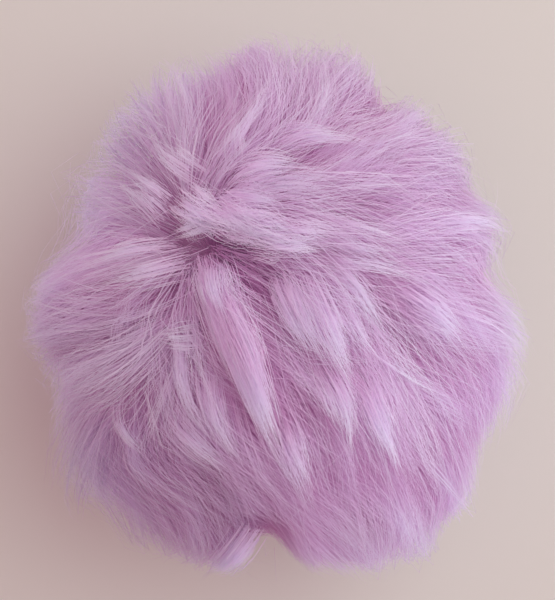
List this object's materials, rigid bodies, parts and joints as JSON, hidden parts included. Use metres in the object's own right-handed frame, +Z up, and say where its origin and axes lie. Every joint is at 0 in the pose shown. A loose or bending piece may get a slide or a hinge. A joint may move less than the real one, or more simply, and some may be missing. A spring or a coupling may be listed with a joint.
{
  "type": "pom pom",
  "caption": "Round fluffy ball of long-pile faux fur in layered, pointed locks, with a small flat spot to rest on.",
  "frame": {"origin": "centre of the ball's plan, on the surface that its flat spot rests on", "axes": "+Z up; +Y along the long way of the plan; the crown where the pile parts is towards -X and +Y on top"},
  "size_m": [0.0896, 0.1, 0.0776],
  "materials": {
    "lilac_fur": "long soft matt pile in clumped tapering locks, paler at the tips than at the roots"
  },
  "bodies": {
    "root": {"fur_ball": "lilac_fur"}
  },
  "joints": []
}
